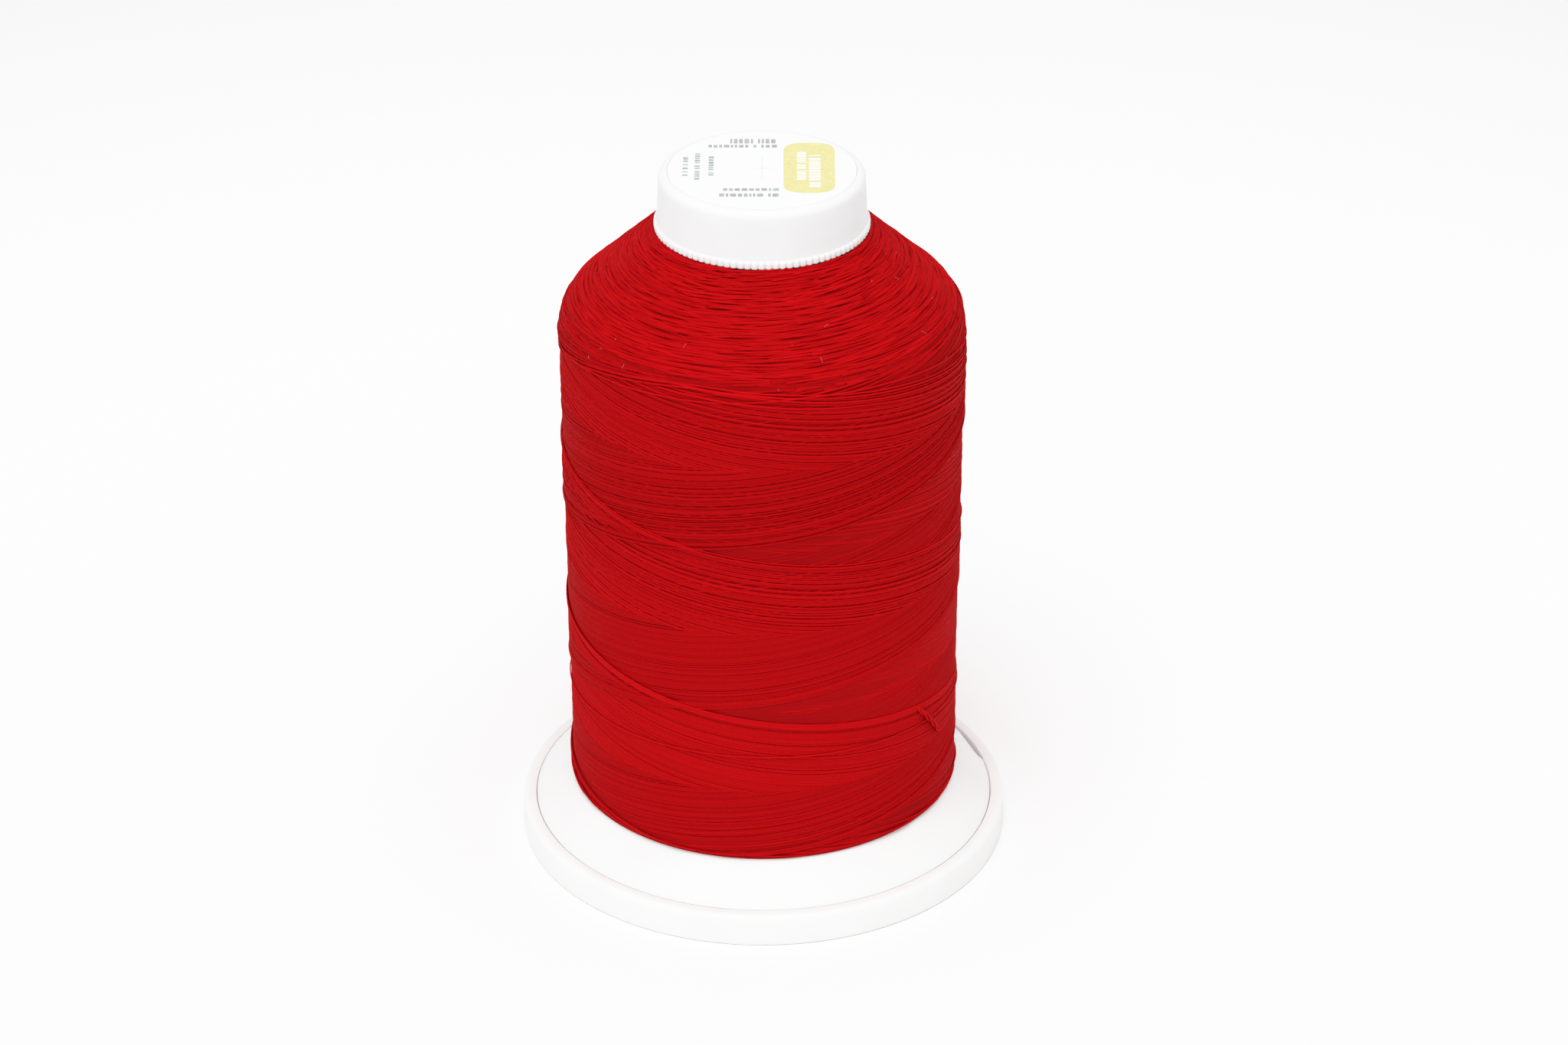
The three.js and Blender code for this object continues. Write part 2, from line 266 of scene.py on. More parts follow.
def lay_side(package):
    """Layers 1 and 0, as whole double strokes, the newest last."""
    count = 2 * PASSES
    shift_up = spaced(count, 2 * PITCH_MM)
    shift_down = spaced(count, 2 * PITCH_MM)
    steps = TURNS_PER_STROKE * STEPS_PER_TURN
    phase = np.arange(steps) / STEPS_PER_TURN
    fade = np.clip(np.minimum(phase, TURNS_PER_STROKE - phase) / 0.08, 0, 1)
    for k in range(count):
        older = count - 1 - k
        even = older * PITCH_MM / PASSES
        up_error = shift_up[-1] - shift_up[k] - even
        down_error = shift_down[-1] - shift_down[k] - even
        crest = CREST_TURN - older / PASSES
        top = STROKE_TOP_MM + (SHOULDER_STEP_MM if older >= PASSES else 0) + rng.normal(0, 0.1)
        soft = rng.uniform(1.0, 1.8)  # how gently it turns back, above and below
        soft_low = rng.uniform(2.15, 2.7)
        start = int(round((crest - TURNS_PER_STROKE) * STEPS_PER_TURN))
        newest = older < NEWEST
        to_right = np.sin(TURN * (crest + phase))
        proud = PROUD_MM * newest * (0.5 - 0.6 * to_right)  # the crowd lies flatter on the right
        path = stroke(phase, soft, soft_low, top) + fade * (up_error + wander(steps, 0.012))
        package.lay(start, path, RISING, 0.3 * proud)
        start = int(round(crest * STEPS_PER_TURN))
        path = stroke(phase[::-1], soft, soft_low, top) + fade * (-down_error + wander(steps, 0.012))
        package.lay(start, path, LATEST if newest else FALLING, proud)


def lay_last(package):
    """The single threads on top, with their corners rounded."""
    for points in LAST_THREADS:
        degrees, places = np.array(points, float).T
        steps = np.arange(degrees[0], degrees[-1], 360 / STEPS_PER_TURN)
        along = blur(np.interp(steps, degrees, places), 12)
        start = int(round(degrees[0] / 360 * STEPS_PER_TURN))
        package.lay(start, along, LATEST, PROUD_MM)


def visible_runs(package):
    """The stretches of the threads that show, as (columns, along, centre, number)."""
    flank = 0.12  # a thread is looked at on its crown and this far to both sides
    hidden = 0.03  # it is covered where something lies higher by more than this
    grow = np.ones(13)  # lengthens what shows by 6 steps at both ends
    shortest = 10  # steps
    found = []
    for number, (columns, along, centre, _, _) in enumerate(package.threads):
        seen = np.zeros(len(along), bool)
        for off in (-flank, 0.0, flank):
            cell = np.rint((along + off) / CELL_MM + PAD).astype(int)
            crown = math.sqrt(1 - (off / THREAD_WIDE_MM) ** 2) * THREAD_HIGH_MM
            seen |= package.height[columns, cell] <= centre + crown + hidden
        seen &= (along > 0.1) & (along < LENGTH_MM + 0.1)
        grown = np.convolve(seen, grow, mode="same") > 0
        edges = np.flatnonzero(np.diff(np.r_[False, grown, False].astype(int)))
        for start, end in zip(edges[::2], edges[1::2]):
            if end - start >= shortest:
                found.append((columns[start:end], along[start:end], centre[start:end], number))
    return found


def surface_point(turn, along, lift):
    """The point at a place on the package, and the surface's outward normal there."""
    radius = np.interp(along, OUTLINE_S, OUTLINE[:, 0])
    height = np.interp(along, OUTLINE_S, OUTLINE[:, 1])
    height = height + np.maximum(along - LENGTH_MM, 0) * 0.7  # on along the shoulder's slope
    ahead, behind = along + 0.4, along - 0.4  # the normal is taken over this stretch
    d_radius = np.interp(ahead, OUTLINE_S, OUTLINE[:, 0]) - np.interp(behind, OUTLINE_S, OUTLINE[:, 0])
    d_height = np.interp(ahead, OUTLINE_S, OUTLINE[:, 1]) - np.interp(behind, OUTLINE_S, OUTLINE[:, 1])
    size = np.hypot(d_radius, d_height)
    out, up = d_height / size, -d_radius / size
    sine, cosine = np.sin(TURN * turn), -np.cos(TURN * turn)
    radius = radius + lift * out
    point = np.stack([radius * sine, radius * cosine, height + lift * up], -1)
    normal = np.stack([out * sine, out * cosine, up], -1)
    return point, normal


SIDES = 6  # of a thread's tube


def tube_vertices(points, normals, wide, high):
    """Rings of SIDES points round a path; the first lies underneath."""
    tangent = np.gradient(points, axis=0)
    tangent /= np.linalg.norm(tangent, axis=1, keepdims=True)
    across = np.cross(tangent, normals)
    across /= np.linalg.norm(across, axis=1, keepdims=True)
    turn = TURN * (np.arange(SIDES) / SIDES - 0.25)
    ring = wide * np.cos(turn)[None, :, None] * across[:, None, :]
    ring = ring + high * np.sin(turn)[None, :, None] * normals[:, None, :]
    return points[:, None, :] + ring


def tube_faces(rings):
    """Quads of a closed tube with the given number of rings, its two ends included."""
    i = np.arange(rings - 1)[:, None] * SIDES
    k = np.arange(SIDES)[None, :]
    n = (k + 1) % SIDES
    wall = np.stack([i + k, i + n, i + SIDES + n, i + SIDES + k], -1).reshape(-1, 4)
    last = (rings - 1) * SIDES
    ends = [[3, 2, 1, 0], [5, 4, 3, 0]]  # two quads close the six-sided end
    ends += [[last, last + 1, last + 2, last + 3], [last, last + 3, last + 4, last + 5]]
    return np.concatenate([wall, ends])


def in_scene(name, mesh):
    """An object of the mesh, in the scene."""
    made = bpy.data.objects.new(name, mesh)
    bpy.context.scene.collection.objects.link(made)
    return made


def faced_object(name, points, faces):
    """A mesh object from a list of points and faces of any number of corners."""
    mesh = bpy.data.meshes.new(name)
    mesh.from_pydata([(x * MM, y * MM, z * MM) for x, y, z in points], [], faces)
    return in_scene(name, mesh)


def mesh_object(name, vertices, quads, attributes):
    """A smooth mesh object from arrays, with float values per point."""
    mesh = bpy.data.meshes.new(name)
    mesh.vertices.add(len(vertices))
    mesh.vertices.foreach_set("co", (vertices * MM).astype(np.float32).ravel())
    mesh.loops.add(len(quads) * 4)
    mesh.loops.foreach_set("vertex_index", quads.astype(np.int32).ravel())
    mesh.polygons.add(len(quads))
    mesh.polygons.foreach_set("loop_start", np.arange(0, len(quads) * 4, 4, dtype=np.int32))
    mesh.update(calc_edges=True)
    for key, values in attributes.items():
        layer = mesh.attributes.new(key, "FLOAT", "POINT")
        layer.data.foreach_set("value", np.asarray(values, np.float32).ravel())
    mesh.polygons.foreach_set("use_smooth", np.ones(len(quads), bool))
    return in_scene(name, mesh)


class Strands:
    """Tubes gathered into meshes of about LIMIT points, with what the cotton's material reads."""

    LIMIT = 92000

    def __init__(self, name):
        self.name = name
        self.made = []
        self.clear()

    def clear(self):
        """Starts the next mesh."""
        self.parts = []
        self.count = 0

    def add(self, points, normals, wide, high, number, shade):
        """One tube. wide and high are half sizes; number sets where its twist starts."""
        rings = tube_vertices(points, normals, wide, high)
        n = len(points)
        length = np.r_[0, np.cumsum(np.linalg.norm(np.diff(points, axis=0), axis=1))]
        along = np.repeat(length + number * 0.37, SIDES)
        around = np.tile(np.arange(SIDES) / SIDES, n)
        thread_shade_and_painted_sheen = np.full(n * SIDES, shade)
        self.parts.append((rings.reshape(-1, 3), tube_faces(n) + self.count, along, around, thread_shade_and_painted_sheen))
        self.count += n * SIDES
        if self.count > self.LIMIT:
            self.flush()

    def flush(self):
        """Makes a mesh of the tubes gathered so far."""
        if self.parts:
            vertices, quads, along, around, thread_shade_and_painted_sheen = (np.concatenate(part) for part in zip(*self.parts))
            name = f"{self.name}_{len(self.made) + 1:02d}"
            values = {"along": along, "around": around, "thread_shade_and_painted_sheen": thread_shade_and_painted_sheen}
            self.made.append(mesh_object(name, vertices, quads, values))
        self.clear()


def pressed(lift, along):
    """Heights above the outline: the highest threads are held down, and all of them on the shoulder."""
    free, give = 0.12, 0.13
    held = np.where(lift > free, free + give * np.tanh((lift - free) / give), lift)
    return held * np.interp(along, [STROKE_TOP_MM - 3, STROKE_TOP_MM], [1, 0.48]) - SET_IN_MM


def wound_threads():
    """Lays the winding, and returns its meshes."""
    package = Package()
    start_ramp(package)
    lay_shoulder(package)
    lay_side(package)
    lay_last(package)
    level = level_of(package.height)
    strands = Strands("winding")
    for columns, along, centre, number in visible_runs(package):
        stride, shade = package.threads[number][3:]
        keep = np.unique(np.r_[np.arange(0, len(along), stride), len(along) - 1])
        cell = np.rint(along[keep] / CELL_MM + PAD).astype(int)
        lift = pressed(centre[keep] - level[columns[keep], cell], along[keep])
        points, normals = surface_point(columns[keep] / STEPS_PER_TURN, along[keep], lift)
        strands.add(points, normals, THREAD_WIDE_MM, THREAD_HIGH_MM, number, shade)
    strands.flush()
    return strands.made


def snag():
    """A loop of thread pulled out of the winding and lying slantwise, low on the right."""
    thick = 0.2  # half its thickness
    start_degrees, sweep_degrees = 51, 13
    start_place, drop = 22.1, 8.5
    square = (0.755, 0.655)  # at right angles to its slant, round the spool and along the outline
    strands = Strands("winding_snag")
    t = np.linspace(0, 1, 60)
    proud = np.sqrt(np.sin(math.pi * t))
    for i in range(3):
        twist = TURN * (1.4 * t + i / 3)
        aside = 0.3 * np.cos(twist) * (0.4 + 0.6 * proud)
        turn = (start_degrees + sweep_degrees * t) / 360 + square[0] * aside / (TURN * SIDE_RADIUS_MM)
        along = start_place - drop * t + square[1] * aside
        lift = -0.2 + 0.75 * proud + 0.24 * np.sin(twist) * proud
        points, normals = surface_point(turn, along, lift)
        strands.add(points, normals, thick, thick, i, 1.0)
    strands.flush()
    return strands.made


def stray_fibres(name, count, thick, lengths, places):
    """Fine loose fibres, each a small arc that lies on the winding within a range of places."""
    strands = Strands(name)
    t = np.linspace(-0.5, 0.5, 7)
    for i in range(count):
        turn = rng.random()
        place = rng.uniform(*places)
        length = rng.uniform(*lengths)
        angle = rng.uniform(0, TURN)
        curl = rng.uniform(-1.2, 1.2)
        bearing = angle + curl * t
        forward = np.cumsum(np.cos(bearing)) / len(t) * length
        sideways = np.cumsum(np.sin(bearing)) / len(t) * length
        lift = 0.09 + rng.uniform(0, 0.12) * (0.25 - t**2) * 4
        radius = np.interp(place, OUTLINE_S, OUTLINE[:, 0])
        points, normals = surface_point(turn + sideways / (TURN * radius), place + forward, lift)
        strands.add(points, normals, thick, thick, i, rng.random())
    strands.flush()
    return strands.made


windings = wound_threads() + snag()
windings += stray_fibres("winding_fuzz", 420, 0.012, lengths=(0.8, 2.4), places=(1.0, LENGTH_MM - 1))
lint_places = (STROKE_TOP_MM - 4, LENGTH_MM - 3)
lint = stray_fibres("lint", 34, 0.014, lengths=(0.3, 1.2), places=lint_places)

# ---- Turned and moulded pieces ----


def rounded(corners, steps=5):
    """An outline from (radius, height, rounding) corners, with an arc at each rounded one."""
    outline = []
    for i, (radius, height, size) in enumerate(corners):
        here = np.array([radius, height], float)
        if size <= 0:
            outline.append(here)
            continue
        back = np.array(corners[i - 1][:2]) - here
        ahead = np.array(corners[(i + 1) % len(corners)][:2]) - here
        back /= np.linalg.norm(back)
        ahead /= np.linalg.norm(ahead)
        half = 0.5 * math.acos(np.clip(back @ ahead, -1, 1))
        centre = here + (back + ahead) / np.linalg.norm(back + ahead) * size / math.sin(half)
        first = here + back * size / math.tan(half) - centre
        last = here + ahead * size / math.tan(half) - centre
        angle = math.atan2(first[1], first[0])
        sweep = math.atan2(first[0] * last[1] - first[1] * last[0], first @ last)
        for t in np.linspace(0, 1, steps + 1):
            at = angle + sweep * t
            outline.append(centre + size * np.array([math.cos(at), math.sin(at)]))
    return np.array(outline)


def lathe(name, outline, sides=192, reshape=None):
    """A closed turned mesh. outline holds (radius, height), anticlockwise round the section.

    reshape may change the radius and height of every point, which lies at a turn round the axis.
    """
    outline = np.asarray(outline, float)
    turn = np.arange(sides) / sides
    radius = np.repeat(outline[:, :1], sides, 1)
    height = np.repeat(outline[:, 1:], sides, 1)
    if reshape:
        radius, height = reshape(radius, height, turn[None, :])
    vertices = np.stack([radius * np.sin(TURN * turn), -radius * np.cos(TURN * turn), height], -1)
    count = len(outline)
    i = np.arange(count)[:, None]
    k = np.arange(sides)[None, :]
    j = (i + 1) % count
    n = (k + 1) % sides
    quads = np.stack([i * sides + k, i * sides + n, j * sides + n, j * sides + k], -1)
    return mesh_object(name, vertices.reshape(-1, 3), quads.reshape(-1, 4), {})


def prism(name, corners, low, high):
    """An upright prism over (x, y) corners, anticlockwise from above."""
    count = len(corners)
    points = [(x, y, z) for z in (low, high) for x, y in corners]
    faces = [tuple(reversed(range(count))), tuple(range(count, 2 * count))]
    for i in range(count):
        n = (i + 1) % count
        faces.append((i, n, count + n, count + i))
    return faced_object(name, points, faces)


def ray(degrees):
    """Unit vectors outwards at an angle from +X, and square to that, seen from above."""
    angle = math.radians(degrees)
    out = np.array([math.cos(angle), math.sin(angle)])
    return out, np.array([-out[1], out[0]])


def combine(piece, other, operation):
    """Cuts another closed mesh out of the piece, or joins it to the piece."""
    modifier = piece.modifiers.new("combine", "BOOLEAN")
    modifier.operation = operation
    modifier.solver = "EXACT"
    modifier.object = other
    bpy.context.view_layer.update()
    shape = piece.evaluated_get(bpy.context.evaluated_depsgraph_get())
    mesh = bpy.data.meshes.new_from_object(shape)
    piece.modifiers.clear()
    piece.data = mesh
    bpy.data.objects.remove(other)


def smooth(piece, degrees=32):
    """Smooth shading, with the edges sharper than degrees left crisp."""
    mesh = piece.data
    mesh.polygons.foreach_set("use_smooth", np.ones(len(mesh.polygons), bool))
    mesh.set_sharp_from_angle(angle=math.radians(degrees))


def stands_for(piece, body, node, surface):
    """Gives a piece its body, the CAD node that it replaces and its material."""
    piece.data.materials.clear()
    piece.data.materials.append(surface)
    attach(piece, body)
    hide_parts(node)


# Sizes of the mouldings. They come from the frame or repeat the part's source, but for the seam
# between flange and rim: the CAD keeps its solids apart, and here both reach further.
SEAM_MM = 0.07
FLANGE_RISE = 0.8667  # height that the flange gains per unit of radius, towards the barrel
WALL_MM = 1.6
BASE_RADIUS_MM = base_high.x / MM
FLANGE_RADIUS_MM = body_high.x / MM + 0.12
RIM_TOP_MM = 5.5
LEDGE_TOP_MM = 3.6  # the flange's edge stands above this ledge inside the rim
PLATE_LOW_MM = 0.8  # the base's plate, inside its foot ring
PLATE_TOP_MM = 2.2
HUB_BORE_MM = 6.0
HUB_TOP_MM = 10.0
COLLAR_TOP_MM = 16.0
COLLAR_SLOTS = 6
BARREL_TOP_MM = body_high.z / MM
BARREL_RADIUS_MM = NECK_RADIUS_MM - 1.75
BARREL_BORE_MM = BARREL_RADIUS_MM - WALL_MM
WEBS = 4
WEB_REACH_MM = 33.0
NOTCH_DEGREES = (11, 33)  # from +X
NOTCH_RADIUS_MM = 37.0
MARK_DEGREES = 11  # from the front
CAP_TOP_MM = cap_high.z / MM
CAP_TEETH = 96
CAP_PLATE_MM = 118.5
PLUG_LOW_MM = 106.0
SLEEVE_LOW_MM = 98.0
SLEEVE_BORE_MM = 4.5
LABEL_RADIUS_MM = label_high.x / MM + 0.25  # the paper fills the cap's recess
LABEL_TOP_MM = label_high.z / MM


def flange_height(radius):
    """Height of the flange's upper face."""
    return RIM_TOP_MM + 0.04 + FLANGE_RISE * (FLANGE_RADIUS_MM - radius)


def flange_underside(radius):
    """Height of the flange's lower face."""
    return flange_height(radius) - WALL_MM * math.hypot(1, FLANGE_RISE)


def winding_core():
    """The dense inside of the package, seen only in the gaps between threads."""
    inner = NECK_RADIUS_MM - 1.2
    foot = FOOT_RADIUS_MM
    outline = [[inner, flange_height(inner) + 0.1], [foot - 0.35, flange_height(foot - 0.35) + 0.1]]
    outline += [[foot - 0.12, FOOT_HEIGHT_MM + 0.3], [foot - 0.2, FOOT_HEIGHT_MM + 0.9]]
    outline += (OUTLINE[1:-1] - [0.2, 0.1]).tolist()
    top = NECK_HEIGHT_MM - 0.5
    outline += [[NECK_RADIUS_MM - 0.3, top], [inner, top]]
    return lathe("winding_core", outline, 256)


def base_shell():
    """The base dish, with a rounded rim, and the slotted collar inside."""
    outer = BASE_RADIUS_MM
    foot = outer - 1.8
    rim = FLANGE_RADIUS_MM + SEAM_MM
    collar = BARREL_BORE_MM - 0.4
    outline = rounded(
        [
            (HUB_BORE_MM, PLATE_LOW_MM, 0.3),
            (foot, PLATE_LOW_MM, 0.3),
            (foot, 0, 0.25),
            (outer, 0, 0.35),
            (outer - 0.15, RIM_TOP_MM, 0.95),
            (rim, RIM_TOP_MM, 0.22),
            (rim, LEDGE_TOP_MM, 0.15),
            (rim - 2.3, LEDGE_TOP_MM, 0.2),
            (rim - 2.3, PLATE_TOP_MM, 0.4),
            (collar, PLATE_TOP_MM, 0.5),
            (collar, 9.9, 0.2),  # from here, the bead that snaps into the barrel's groove
            (collar + 0.6, 10.3, 0.15),
            (collar + 0.6, 11.3, 0.15),
            (collar, 11.9, 0.2),
            (collar - 0.6, COLLAR_TOP_MM, 0.3),
            (collar - WALL_MM, COLLAR_TOP_MM, 0.3),
            (collar - WALL_MM, PLATE_TOP_MM, 0.4),
            (HUB_BORE_MM + WALL_MM, PLATE_TOP_MM, 0.4),
            (HUB_BORE_MM + WALL_MM, HUB_TOP_MM, 0.3),
            (HUB_BORE_MM, HUB_TOP_MM, 0.3),
        ]
    )

    def mould_mark(radius, height, turn):
        """The faint upright marks on the wall, front and back, where the mould's halves met."""
        off = np.abs((turn * 360 - MARK_DEGREES + 90) % 180 - 90)
        wall = (radius > outer - 0.6) & (height > 0.3) & (height < 4.6)
        return radius + 0.04 * np.clip(1.2 - off, 0, 1) * wall, height

    base = lathe("base_shell", outline, 720, mould_mark)
    slot_low = 4.2
    for i in range(COLLAR_SLOTS):
        out, square = ray(360 / COLLAR_SLOTS * (i + 0.5))
        near, far, side = out * (collar - 2.1), out * (collar + 2.0), square * 0.7
        corners = [near - side, far - side, far + side, near + side]
        combine(base, prism("slot", corners, slot_low, COLLAR_TOP_MM + 1), "DIFFERENCE")
    smooth(base)
    return base


def web(degrees):
    """A thin wall under the flange, from the barrel outwards."""
    out, square = ray(degrees)
    inner = BARREL_RADIUS_MM - 0.6
    low = 4.4
    points = []
    for side in (-0.6, 0.6):
        for radius, height in (
            (inner, low),
            (WEB_REACH_MM, low),
            (WEB_REACH_MM, flange_underside(WEB_REACH_MM) + 0.6),
            (inner, flange_underside(inner) + 0.6),
        ):
            points.append((*(out * radius + square * side), height))
    faces = [(0, 1, 2, 3), (7, 6, 5, 4), (0, 4, 5, 1), (1, 5, 6, 2), (2, 6, 7, 3), (3, 7, 4, 0)]
    return faced_object("web", points, faces)


def notch():
    """What the thread-catch notch takes out of the flange's edge: a pocket with slanted ends."""
    start, end = NOTCH_DEGREES
    near = [ray(degrees)[0] * NOTCH_RADIUS_MM for degrees in np.linspace(start + 2, end - 2, 9)]
    far = [ray(degrees)[0] * (FLANGE_RADIUS_MM + 1) for degrees in np.linspace(end, start, 9)]
    low = RIM_TOP_MM - 0.9
    clear = 2 * RIM_TOP_MM  # above the flange's edge
    return prism("notch", (near + far)[::-1], low, clear)


def body_shell():
    """The barrel and the sloping flange, with the thread-catch notch and four webs below."""
    edge = FLANGE_RADIUS_MM
    barrel = BARREL_RADIUS_MM
    bore = BARREL_BORE_MM
    outline = rounded(
        [
            (bore, 2.5, 0.2),
            (barrel, 2.5, 0.2),
            (barrel, flange_underside(barrel), 0.5),
            (edge - 1.0, flange_underside(edge - 1.0), 0.1),
            (edge - 0.6, LEDGE_TOP_MM + 0.3, 0.1),
            (edge, LEDGE_TOP_MM + 0.3, 0.15),
            (edge, flange_height(edge) - 0.06, 0.14),
            (edge - 0.9, flange_height(edge - 0.9), 0.6),
            (barrel, flange_height(barrel), 1.2),
            (barrel, BARREL_TOP_MM, 0.3),
            (bore, BARREL_TOP_MM, 0.3),
            (bore, 12.0, 0),  # from here, the groove for the collar's bead
            (bore + 0.5, 12.0, 0),
            (bore + 0.5, 7.0, 0),
            (bore, 7.0, 0),
        ]
    )
    body = lathe("body_shell", outline, 256)
    for i in range(WEBS):
        combine(body, web(360 / WEBS * (i + 0.5)), "UNION")
    combine(body, notch(), "DIFFERENCE")
    smooth(body)
    return body


def cap_shell():
    """The head cap: a toothed lip, a skirt, the recess of the label, a plug and a spindle sleeve."""
    tip, low, top = NECK_RADIUS_MM, NECK_HEIGHT_MM, CAP_TOP_MM
    plug = BARREL_BORE_MM - 0.3
    skirt = BARREL_RADIUS_MM + 0.3
    outline = rounded(
        [
            (SLEEVE_BORE_MM, SLEEVE_LOW_MM, 0.3),
            (SLEEVE_BORE_MM + 1.5, SLEEVE_LOW_MM, 0.3),
            (SLEEVE_BORE_MM + 1.5, CAP_PLATE_MM, 0.4),
            (plug - 1.3, CAP_PLATE_MM, 0.4),
            (plug - 1.3, PLUG_LOW_MM, 0.3),
            (plug - 0.5, PLUG_LOW_MM, 0.3),
            (plug, PLUG_LOW_MM + 1.2, 0.3),
            (plug, CAP_PLATE_MM, 0),
            (skirt, CAP_PLATE_MM, 0),
            (skirt, low, 0.2),
            (tip, low, 0.25),
            (tip, low + 1.1, 0.3),
            (tip - 0.5, low + 1.3, 0.15),
            (tip - 0.85, top, 1.35),
            (LABEL_RADIUS_MM + 0.04, top, 0.05),
            (LABEL_RADIUS_MM + 0.04, top - 0.5, 0),
            (SLEEVE_BORE_MM, top - 0.5, 0),
        ],
        steps=6,
    )

    def teeth(radius, height, turn):
        """Rounded teeth round the lip, with shallow gaps between them."""
        wave = np.sqrt(np.abs(np.cos(0.5 * TURN * CAP_TEETH * turn)))
        lip = np.clip((radius - (tip - 0.5)) / 0.3, 0, 1) * (height < low + 1.35)
        return radius - 0.32 * (1 - wave) * lip, height

    cap = lathe("cap_shell", outline, CAP_TEETH * 8, teeth)
    smooth(cap, 40)
    return cap


def label_paper():
    """The round label: a thin disc with a soft edge."""
    top, low = LABEL_TOP_MM, LABEL_TOP_MM - 0.22
    middle = 0.02  # a pinhole where the turned mesh closes
    outline = rounded(
        [
            (middle, low, 0),
            (LABEL_RADIUS_MM, low, 0),
            (LABEL_RADIUS_MM, top, 0.06),
            (10.0, top, 0),  # keeps the edge's shading off the middle
            (5.0, top, 0),
            (middle, top, 0),
        ]
    )
    paper = lathe("label_paper", outline, 192)
    smooth(paper)
    return paper


# ---- The label's print: plain marks that say nothing ----

PRINT_MM = 0.012  # thickness of the ink


def flat_shape(name, outlines, lift=0.0):
    """Thin raised ink over closed (x, y) outlines, anticlockwise from above."""
    points, faces = [], []
    for outline in outlines:
        first, count = len(points), len(outline)
        for z in (LABEL_TOP_MM - 0.02 + lift, LABEL_TOP_MM + PRINT_MM + lift):
            points += [(x, y, z) for x, y in outline]
        faces.append(tuple(first + i for i in reversed(range(count))))
        faces.append(tuple(first + count + i for i in range(count)))
        for i in range(count):
            n = (i + 1) % count
            faces.append((first + i, first + n, first + count + n, first + count + i))
    return faced_object(name, points, faces)


def bar(x, y, width, depth, corner=0.12, turned=False):
    """A rounded bar centred at a place on the label."""
    if turned:
        width, depth = depth, width
    points = []
    for quarter in range(4):
        cx = x + (width / 2 - corner) * (1 if quarter in (0, 3) else -1)
        cy = y + (depth / 2 - corner) * (1 if quarter in (0, 1) else -1)
        for t in range(4):
            angle = math.pi / 2 * (quarter + t / 3)
            points.append((cx + corner * math.cos(angle), cy + corner * math.sin(angle)))
    return points


def row(x, y, length, depth, turned=False):
    """A broken line of short bars, as long as a line of print."""
    bars = []
    at = -length / 2
    while at < length / 2 - 0.3:
        size = min(rng.uniform(0.35, 1.1), length / 2 - at)
        middle = at + size / 2
        place = (x, y - middle) if turned else (x + middle, y)
        bars.append(bar(*place, size, depth, min(size, depth) * 0.3, turned))
        at += size + (0.75 if rng.random() < 0.22 else 0.22)
    return bars


def label_print():
    """A gold patch with plain pale bars, a few rows of grey bars and a fine cross."""
    gold = flat_shape("print_gold", [bar(7.5, 0.8, 8.2, 19.5, 2.6)])
    pale = row(6.3, 1.2, 11.4, 1.5, True) + row(8.4, -0.6, 12.4, 1.9, True)
    pale = flat_shape("print_pale", pale, lift=PRINT_MM)
    dark = []
    for x, y, length, depth in (
        (-1.3, 11.2, 7.8, 1.9),
        (-2.9, 9.2, 11.6, 1.2),
        (-1.5, -7.7, 9.2, 1.1),
        (-1.8, -9.8, 9.8, 1.3),
    ):
        dark += row(x, y, length, depth)
    for x, length in ((-12.2, 7.4), (-10.3, 10.4), (-8.1, 8.0)):
        dark += row(x, 1.2, length, 0.9, turned=True)
    dark = flat_shape("print_grey", dark)
    cross = flat_shape("print_cross", [bar(0, 0.6, 5.0, 0.13, 0.03), bar(0, 0.6, 0.13, 9.0, 0.03)])
    return gold, pale, dark, cross


# ---- Materials ----

RED_DEEP = (0.36, 0.0022, 0.0036)
RED_LIGHT = (0.56, 0.0040, 0.0064)
# The core's red is darker than the threads': painted shade for the gaps through which it shows.
CORE_DEEP = (0.24, 0.0016, 0.0026)
CORE_LIGHT = (0.44, 0.003, 0.005)


def material(name):
    """A new material, with its nodes, its links and its shader."""
    made = bpy.data.materials.new(name)
    made.use_nodes = True
    nodes = made.node_tree.nodes
    return made, nodes, made.node_tree.links, nodes["Principled BSDF"]


def node(nodes, kind, inputs=None, **values):
    """A node with its properties set by name, and its inputs by a dictionary."""
    made = nodes.new(kind)
    for key, value in values.items():
        setattr(made, key, value)
    for key, value in (inputs or {}).items():
        made.inputs[key].default_value = value
    return made


def ramp(nodes, links, value, deep, light, start=0.0, end=1.0):
    """The colour from deep to light as a value goes from start to end."""
    made = nodes.new("ShaderNodeValToRGB")
    first, last = made.color_ramp.elements
    first.position = start
    first.color = (*deep, 1)
    last.position = end
    last.color = (*light, 1)
    links.new(value, made.inputs["Fac"])
    return made.outputs["Color"]


def noise(nodes, links, place, **inputs):
    """Noise at a place, from 0 to 1."""
    made = node(nodes, "ShaderNodeTexNoise", inputs)
    links.new(place, made.inputs["Vector"])
    return made.outputs["Fac"]


def times_plus(nodes, links, value, factor, plus):
    """value times a constant factor, plus another value."""
    made = node(nodes, "ShaderNodeMath", {1: factor}, operation="MULTIPLY_ADD")
    links.new(value, made.inputs[0])
    links.new(plus, made.inputs[2])
    return made.outputs[0]


def times(nodes, links, value, factor):
    """value times a constant factor."""
    made = node(nodes, "ShaderNodeMath", {1: factor}, operation="MULTIPLY")
    links.new(value, made.inputs[0])
    return made.outputs[0]


def add_bump(nodes, links, shader, height, strength, depth):
    """Gives the shader's surface a relief of the given depth."""
    bump = node(nodes, "ShaderNodeBump", {"Strength": strength, "Distance": depth * MM})
    links.new(height, bump.inputs["Height"])
    links.new(bump.outputs["Normal"], shader.inputs["Normal"])


